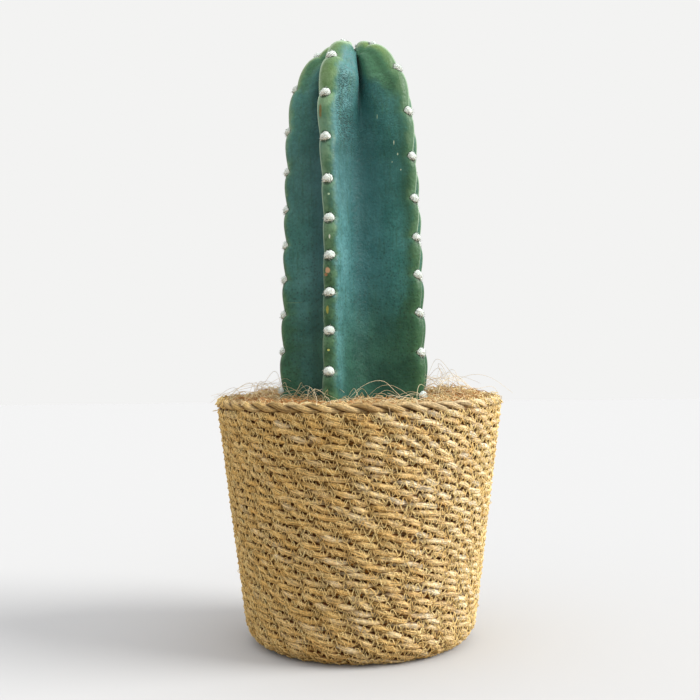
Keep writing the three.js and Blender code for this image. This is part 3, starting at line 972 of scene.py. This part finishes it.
# %% Bloom and bare skin
skin, shader = material(
    "cactus skin", Specular_IOR_Level=0.25, Sheen_Weight=0.15, Sheen_Roughness=0.35
)
place = object_place()
to_right = place.x
off_crest, along, worn, across = (
    attribute(name) for name in ("off_crest", "along", "worn", "share")
)
cloud = placed(speckle, Vector=place, Patch_Scale=48.0, Dot_Scale=370.0, Dot_Size=0.45)
pores = placed(speckle, Vector=place, Patch_Scale=420.0, Dot_Scale=900.0, Dot_Size=0.3)
streak = noise(place * (1.0, 1.0, 0.12), 420.0, 4.0, 0.65)
edge = noise(place, 110.0, 4.0, 0.6)
broad = noise(place, 30.0)


def patchy(first, second):
    return mix(cloud["Mottle"], first, second)


bloom = patchy((55, 106, 108), (81, 132, 137))
bluer = patchy((47, 106, 107), (73, 132, 136))
bloom = mix(ramp(to_right, -0.012, 0.002), bloom, bluer)
greener = ramp(off_crest, 45, 12, 0.0, 0.32) * ramp(worn, 0.1, 0.5)
bloom = mix(greener, bloom, (58, 110, 90))
fresh = patchy((60, 104, 72), (74, 120, 91))
bare = mix(ramp(along, 50, 170), fresh, patchy((35, 75, 53), (53, 97, 72)))
reach = ramp(along, 205, 330, 0.0, 36.0) + ramp(along, 30, 100, 42.0, 0.0)
reach = reach * worn + 5.0 + (edge - 0.5) * 22.0 + (broad - 0.5) * 26.0
wear = ramp(off_crest - reach, -9.0, 9.0, 0.95, 0.05)
base = mix(wear, bloom, bare)
base = mix(ramp(streak, 0.45, 0.75, 0.0, 0.5), base, bare)
base = base * ramp(pores["Mottle"], 0, 1, 0.88, 1.1) * ramp(off_crest, 8, 38, 1.15, 1.0)
# painted fill light: flanks away from the lamp are made up to 14 percent lighter by their value
base = base * ramp(worn, 0.1, 1.0, 1.0, 1.14)

# %% Valleys, old skin and creases
# a duller patch, painted shade in the valleys, old skin, and painted shade in a nook beside the front
# rib
duller = ramp(along, 105, 130) * ramp(along, 190, 160) * ramp(off_crest, 34, 22, 0.3, 1.0)
base = base * ramp(duller, 0, 1, 1.0, 0.8)
# painted shade: the valleys are mixed towards a deep blue-green
base = mix(ramp(across, 0.4, 0.97, 0.0, 0.65), base, (22, 75, 79))
old = ramp(along, 215, 305) * ramp(across, 0.1, 0.6, 0.16, 0.9)
old = old * ramp(to_right, -0.045, -0.03, 0.6, 1.0)
base = mix(old, base, patchy((30, 73, 58), (47, 95, 76)))
# painted shade: a nook left of the front rib is made darker
nook = ramp(to_right, -0.044, -0.036) * ramp(to_right, -0.024, -0.03) * ramp(across, 0.45, 0.7)
base = base * ramp(nook, 0, 1, 1.0, 0.84)

ridges = ramp(abs(noise(place * (1.0, 1.0, 1.9), 260.0) - 0.5), 0.07, 0.0)
wrinkled = ramp(along, 45, 70) * ramp(along, 150, 100) * ramp(off_crest, 9, 14)
wrinkled = wrinkled * ramp(broad, 0.3, 0.5, 0.3, 1.0) * ramp(to_right, 0.0, -0.01, 0.35, 1.0)
creases = ridges * (wrinkled * ramp(to_right, -0.036, -0.026, 0.25, 1.0))
# painted shade: the creases are mixed towards dark green, on top of their bump
base = mix(creases * 0.64, base, (24, 62, 58))

# %% Crests, dots and pores
# crests are green, deeper on the right; the painted highlight on a crest seen edge-on is strongest
# high up and fades below
blotch = ramp(edge, 0.35, 0.65)
upper = mix(blotch, (74, 116, 80), (123, 159, 128))
lower = mix(blotch, (42, 79, 50), (80, 117, 82))
green = mix(ramp(along, 90, 260), upper, lower)
green = mix(ramp(along, 10, 130), (108, 137, 72), green)
width = edge * 9.0 + ramp(along, 0, 140, 5.0, 1.2)
band = ramp(off_crest - width, -3.0, 3.5, 1.0, 0.0) * ramp(broad, 0.3, 0.6, 0.6, 0.95)
base = mix(band, base, green)
deeper = ramp(off_crest, 18, 7, 0.0, 0.55) * ramp(to_right, 0.015, 0.035)
base = mix(deeper, base, (52, 92, 60))

# painted highlight: a pale line along a crest seen edge-on, as grazing light would give
painted_edge_highlight = ramp(node("ShaderNodeLayerWeight", {"Blend": 0.5}, "Facing"), 0.5, 0.8)
painted_edge_highlight = painted_edge_highlight * ramp(off_crest, 12, 7) * ramp(along, 180, 240, 1.0, 0.15)
painted_edge_highlight = painted_edge_highlight * ramp(to_right, -0.05, -0.04, 0.0, 0.6)
base = mix(painted_edge_highlight, base, (176, 206, 176))

base = mix(cloud["Dots"] * ramp(along, 120, 260, 0.1, 0.6), base, (22, 48, 40))
base = mix(pores["Dots"] * ramp(edge, 0.5, 0.62) * 0.35, base, (120, 160, 140))

# %% [markdown]
# ## Scars and specks
#
# Most marks on a plant like this have a cause, such as a knock, a drip or an insect, so they lie
# where that happened. Each one is a small soft spot round a point of the skin. It is given as it is
# seen from the front, and the skin's foremost point there gives its depth.

# %% Scars and specks
# where each lies seen from the front, its half width and half height in mm, and its colour
MARKS = [
    (-24.2, 307.8, 2.2, 2.6, (196, 158, 124)),
    (-25.6, 304.5, 1.6, 1.6, (150, 108, 74)),
    (-29.3, 437.0, 1.5, 7.5, (112, 96, 44)),
    (-24.6, 276.5, 1.3, 3.4, (150, 150, 70)),
    (-23.9, 244.2, 1.2, 1.0, (206, 214, 120)),
    (-22.4, 335.0, 0.7, 1.9, (214, 226, 214)),
    (-55.0, 284.5, 7.0, 0.5, (90, 128, 106)),
    (-19.0, 287.0, 2.4, 1.4, (56, 104, 100)),
    (-13.0, 283.0, 1.6, 1.0, (56, 104, 100)),
    (-22.8, 369.0, 1.0, 0.9, (176, 206, 176)),
    (30.5, 414.5, 0.5, 2.2, (206, 222, 196)),
    (33.5, 405.0, 0.6, 1.2, (206, 222, 196)),
    (29.0, 399.0, 0.6, 0.6, (190, 210, 180)),
    (36.0, 392.0, 0.6, 0.9, (206, 222, 196)),
    (17.0, 437.0, 0.5, 2.6, (150, 186, 160)),
]
SEARCH_RADIUS = 3.5
MARK_DEPTH = 0.004
surface = skin_points.reshape(-1, 3)
ragged = pores["Mottle"] * 0.5 + 0.75
for x, z, half_width, half_height, tint in MARKS:
    near = surface[np.hypot(surface[:, 0] - x, surface[:, 2] - z) < SEARCH_RADIUS]
    middle = (x / 1000, near[:, 1].min() / 1000, z / 1000)
    half_sizes = (half_width / 1000, MARK_DEPTH + half_width / 1000, half_height / 1000)
    away = (place - middle) / half_sizes
    far = calc("DOT_PRODUCT", away, away, out=1)
    base = mix(ramp(far * ragged, 1.1, 0.4) * 0.9, base, tint)

corky = outputs_of(node("ShaderNodeTexVoronoi", {"Vector": place, "Scale": 42.0}, out=None))
chosen = calc("GREATER_THAN", corky["Color"].x, 0.93)
base = mix(ramp(corky["Distance"], 0.13, 0.06) * chosen * 0.6, base, (150, 128, 84))
# painted shade: a dark ring round each cushion, where the wool sits in its notch
base = mix(ramp(attribute("cushion"), 4.5, 5.8, 0.7, 0.0), base, (22, 42, 30))

# %% Gloss and relief of the skin
rough = ramp(pores["Mottle"], 0, 1, 0.4, 0.54) + ramp(wear, 0, 1, 0.05, -0.04)
height = streak * 0.3 + noise(place, 300.0) * 0.9 + pores["Mottle"] * 0.15 - creases * 0.9
finish(shader, base, rough, height, 0.0006)
keep("stem_skin", skin_mesh, "cactus_skin", "cactus_stem", finish_with=skin)

# %% [markdown]
# ## The woolly cushions
#
# A cactus has no leaves. At every notch of a rib sits an areole, a cushion of white wool the size
# of a pea: a lumpy dome that is sunk in the crest, with short curly hairs over it. The tree sets a
# dome on each point of the crests, makes it uneven, and then scatters the hairs over the domes. On
# the rib behind the right one the cushions lie deeper in their notches.

# %% Where the cushions sit
AREOLE_RADIUS = 4.4
RAISED, SUNKEN = 0.3, -1.6
FACING_UP = 0.15
SUNKEN_RIB = RIBS[3]
places, facings, sizes_of = [], [], []
for rib, areoles in zip(RIBS, AREOLES):
    for along in areoles[areoles < BURIED_FROM]:
        crest, _, outward = outline_at(np.array([along]))
        angle = float(direction(rib, along))
        out, up = outward[0]
        spot = crest[0] + (SUNKEN if rib == SUNKEN_RIB else RAISED) * outward[0]
        reach = spot[0]
        places.append([reach * math.cos(angle) + STEM_OFFSET_X, reach * math.sin(angle), spot[1]])
        facings.append([out * math.cos(angle), out * math.sin(angle), up + FACING_UP])
        sizes_of.append(AREOLE_RADIUS * (0.38 + 0.62 * float(ease(along, 0, 45))) / 1000)
cushion_points = mesh_of("cushions", places, facing=facings, size=sizes_of)
print(len(places), "cushions")


# %% Helpers that scatter one form over a surface
def scattered(surface, density, seed):
    inputs = {"Mesh": surface, "Density": density, "Seed": seed}
    return outputs_of(node("GeometryNodeDistributePointsOnFaces", inputs, out=None))


def random_value(low, high, seed):
    """A number or a vector by chance, one for each point."""
    kind, first = ("FLOAT_VECTOR", 0) if isinstance(low, tuple) else ("FLOAT", 2)
    inputs = {first: low, first + 1: high, "Seed": seed}
    return node("FunctionNodeRandomValue", inputs, first // 2, data_type=kind)


def planted(points, shape, turn, size):
    """A copy of the shape on each point."""
    inputs = {"Points": points, "Instance": shape, "Rotation": turn, "Scale": size}
    copies = node("GeometryNodeInstanceOnPoints", inputs)
    return node("GeometryNodeRealizeInstances", {"Geometry": copies})


def straight_line(start, stop, count):
    line = node("GeometryNodeCurvePrimitiveLine", {"Start": start, "End": stop})
    return node("GeometryNodeResampleCurve", {"Curve": line, "Count": count})


def as_rotation(angles):
    return node("FunctionNodeEulerToRotation", {"Euler": angles})


# %% The tree for wool
def wool_tree():
    tree, given = geometry_tree(
        "wool",
        {"Lumps": 0.0028, "Hair Density": 520000.0, "Hair Length": 0.0013, "Hair Radius": 0.00013,
         "Seed": 3},
    )
    points = node("GeometryNodeMeshToPoints", {"Mesh": given["Geometry"]})
    points = stored(points, "middle", position())
    ball = node("GeometryNodeMeshIcoSphere", {"Radius": 1.0, "Subdivisions": 3})
    ball = node("GeometryNodeTransform", {"Geometry": ball, "Scale": (1.0, 0.95, 0.8)})
    facing = {"Vector": named("facing", "FLOAT_VECTOR")}
    size = named("size")
    turn = node("FunctionNodeAlignRotationToVector", facing)
    domes = planted(points, ball, turn, size)
    above = (position() - named("middle", "FLOAT_VECTOR")).z
    domes = stored(domes, "level", above / size)
    lump = (noise(position(), 620.0, 3.0, 0.6) - 0.5) * given["Lumps"]
    lump = node("GeometryNodeInputNormal") * lump
    sunk = calc("MAXIMUM", calc("SUBTRACT", -0.45, named("level")), 0.0) * size * 0.5
    domes = moved(domes, lump + combined(0.0, 0.0, sunk))

    spots = scattered(domes, given["Hair Density"], given["Seed"])
    tilt = random_value((-0.9, -0.9, -3.1), (0.9, 0.9, 3.1), given["Seed"])
    tilt = {"Rotation": spots["Rotation"], "Rotate By": as_rotation(tilt)}
    turn = node("FunctionNodeRotateRotation", tilt, rotation_space="LOCAL")
    longer = random_value(0.5, 1.2, 5) * given["Hair Length"]
    hair = straight_line((0.0, 0.0, 0.0), (0.0, 0.0, 1.0), 3)
    hairs = planted(spots["Points"], hair, turn, longer)
    factor = node("GeometryNodeSplineParameter")
    curl = noise(position(), 900.0, 1.0, out="Color") - (0.5, 0.5, 0.6)
    hairs = moved(hairs, curl * 0.0045 * factor)
    thin = ramp(factor, 0.0, 1.0, 1.0, 0.45, smooth=False)
    end_tree([domes, swept(hairs, thin * given["Hair Radius"], 3)], given)
    return tree


# %% The cushions and their finish
wool, shader = material("areole wool", Specular_IOR_Level=0.2, Sheen_Weight=0.3)
place = object_place()
fluff = placed(speckle, Vector=place, Patch_Scale=700.0, Dot_Scale=1600.0, Dot_Size=0.25)
base = mix(fluff["Mottle"], (224, 238, 233), (246, 255, 250))
marked = ramp(attribute("level"), 0.1, -0.35) * ramp(noise(place, 1000.0), 0.5, 0.62)
base = mix(marked * 0.9, base, (98, 98, 90))
finish(shader, base, ramp(fluff["Mottle"], 0, 1, 0.95, 0.85), fluff["Mottle"], 0.0006)
mesh = grown("wool", cushion_points, wool_tree(), Material=wool)
keep("areole_wool", mesh, "cactus_skin", "cactus_stem")

# %% [markdown]
# ## The bed of coconut fibre
#
# Coconut fibre covers the soil up to the rim, heaped up on the right and behind the stem. It is
# built in two layers: a lumpy mat that closes the bed, and thousands of loose curved fibres on it.
# A few long pale ones have come free. They lie in a tangle round the foot of the stem and along the
# rim, thinner in front.

# %% The mat
COIR_LEVEL = 198
COIR_LUMP = 2.2
MAT_SIDES = 180
MAT_RINGS = 64
MAT_EDGE = COIR_LEVEL - 6
MAT_SHOULDER = 184
MAT_UNDERSIDE = 180.5
WALL_AND_GAP = 7.4


def mound(x, y, middle, width):
    return np.exp(-((x - middle[0]) ** 2 + (y - middle[1]) ** 2) / width**2)


def coir_top(x, y):
    broad = np.sin(x * 0.11 + 1) * np.sin(y * 0.13)
    narrow = 0.6 * np.sin(x * 0.21 - y * 0.17)
    mounds = 9 * mound(x, y, (78, 12), 30) + 7 * mound(x, y, (-60, 48), 34)
    mounds += 6 * mound(x, y, (20, 85), 40)
    across, back = x * 0.83 + 2.1 * np.sin(y * 0.31), y * 0.77 + 1.7 * np.sin(x * 0.37)
    crumbs = 0.7 * np.sin(across) * np.sin(back)
    return COIR_LEVEL + COIR_LUMP * (broad + narrow) + mounds + crumbs


def tangle(x, y, radius):
    """How densely the long pale fibres lie at a point of the mat."""
    dense = np.exp(-(((radius - 66) / 16) ** 2)) + 0.5 * np.exp(-(((radius - 104) / 9) ** 2))
    dense = dense + 1.2 * (mound(x, y, (-82, -8), 24) + mound(x, y, (84, -2), 24))
    return dense * (1 - 0.55 * mound(x, y, (-8, -70), 38))


angles = np.arange(MAT_SIDES) * 2 * math.pi / MAT_SIDES
edge_radius = BASE_RADIUS + (MAT_EDGE - wall_foot) * math.tan(lean)
edge_radius -= WALL_AND_GAP / math.cos(lean)
rings = [(r, None) for r in np.linspace(1, edge_radius - 1.5, MAT_RINGS)]
rings += [(edge_radius, MAT_EDGE), (edge_radius - 1, MAT_SHOULDER)]
rings += [(edge_radius - 20, MAT_UNDERSIDE)]
points = [(0, 0, float(coir_top(0.0, 0.0))), (0, 0, MAT_UNDERSIDE)]
loose = [0.0, 0.0]
for radius, height in rings:
    x, y = radius * np.cos(angles), radius * np.sin(angles)
    z = coir_top(x, y) if height is None else np.full(MAT_SIDES, float(height))
    points += np.stack([x, y, z], 1).tolist()
    loose += (tangle(x, y, radius) * (height is None)).tolist()
faces = [(first, *reversed(rest)) for first, *rest in turned_faces(len(rings), MAT_SIDES)]
mat_mesh = mesh_of("mat", points, faces, loose=loose)
mat_finish = mottled(
    "coir mat", 0.15, (160.0, 700.0, 0.3), ((124, 76, 32), (236, 180, 110)), (0.95, 0.85), 0.0015,
    dots=(0.8, (60, 34, 14)),
)
keep("coir_mat", mat_mesh.copy(), "coir", "coir_mulch", finish_with=mat_finish)


# %% The finish of coconut fibre
def fibre_finish(name, dark, light):
    made, shader = material(name, Specular_IOR_Level=0.25)
    around, along = attribute("around", "Vector"), attribute("along")
    fibres = placed(grain, Around=around, Along=along, Fineness=1.2, Stretch=160.0)
    base = mix(attribute("tone"), dark, light) * ramp(fibres["Streak"], 0, 1, 0.8, 1.1)
    rough = ramp(fibres["Streak"], 0, 1, 0.9, 0.75)
    finish(shader, base, rough, fibres["Height"], 0.0002)
    return made


# %% The tree for loose fibres
def fibre_tree():
    tree, given = geometry_tree(
        "loose fibres",
        {"Density": 200000.0, "Length": 0.02, "Rise": 0.004, "Curl": 0.006, "Curl Size": 60.0,
         "Radius": 0.0003, "Points": 5, "Only Loose": 0.0, "Seed": 1},
    )
    chance = (named("loose") - 1.0) * given["Only Loose"] + 1.0
    on_top = calc("GREATER_THAN", node("GeometryNodeInputNormal").z, 0.3)
    spots = scattered(given["Geometry"], chance * on_top * given["Density"], given["Seed"])
    spots = stored(spots["Points"], "tone", random_value(0.0, 1.0, 11))
    spots = stored(spots, "rise", random_value(0.1, 1.0, 12) * given["Rise"])
    line = straight_line((-0.5, 0.0, 0.0), (0.5, 0.0, 0.0), given["Points"])
    heading = as_rotation(random_value((-0.1, -0.25, -3.14), (0.1, 0.25, 3.14), 13))
    length = random_value(0.5, 1.3, 14) * given["Length"]
    fibres = planted(spots, line, heading, length)
    progress = outputs_of(node("GeometryNodeSplineParameter", out=None))
    arch = calc("SINE", progress["Factor"] * math.pi) * named("rise")
    spot = position() + combined(named("tone"))
    curl = noise(spot, given["Curl Size"], 1.0, out="Color") - (0.5, 0.5, 0.5)
    fibres = moved(fibres, curl * given["Curl"] * 4.0 + combined(0.0, 0.0, arch))
    fibres = stored(fibres, "along", progress["Length"])
    taper = ramp(progress["Factor"], 0.0, 1.0, 1.2, 0.6, smooth=False)
    end_tree([swept(fibres, taper * given["Radius"], 3)], given)
    return tree


# %% Fibres on the mat, and the long pale ones
fibres = fibre_tree()
coir_finish = fibre_finish("coconut fibre", (190, 124, 62), (255, 240, 184))
pale_finish = fibre_finish("dry pale fibre", (206, 176, 126), (252, 238, 204))
mesh = grown(
    "fibres", mat_mesh, fibres, Density=130000.0, Length=0.019, Rise=0.005, Curl=0.004,
    Radius=0.00032, Points=5, Seed=4, Material=coir_finish,
)
keep("coir_fibres", mesh, "coir", "coir_mulch")
mesh = grown(
    "wisps", mat_mesh, fibres, Density=11000.0, Length=0.052, Rise=0.019, Curl=0.011,
    Curl_Size=15.0, Radius=0.00016, Points=14, Only_Loose=1.0, Seed=21, Material=pale_finish,
)
keep("coir_wisps", mesh, "coir", "coir_mulch")

# %% [markdown]
# ## Pot and soil
#
# The nursery pot and its soil are right as the frame gives them, and the basket and the coconut
# fibre hide them. They get finishes of their own all the same: black plastic with a fine haze of
# scratches and dust, and dark crumbly soil with pale grit.

# %% Finishes of the pot and the soil
plastic = mottled(
    "black nursery plastic", 0.45, (55.0, 900.0, 0.2), ((22, 22, 23), (40, 39, 38)), (0.42, 0.6),
    0.0002, dots=(0.4, (96, 84, 70)),
)
earth = mottled(
    "potting soil", 0.1, (180.0, 320.0, 0.22), ((38, 26, 18), (74, 54, 38)), (1.0, 0.85), 0.002,
    dots=(0.8, (170, 160, 142)),
)
for name, its_finish in (("nursery_pot", plastic), ("potting_soil", earth)):
    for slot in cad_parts[name].material_slots:
        slot.material = its_finish
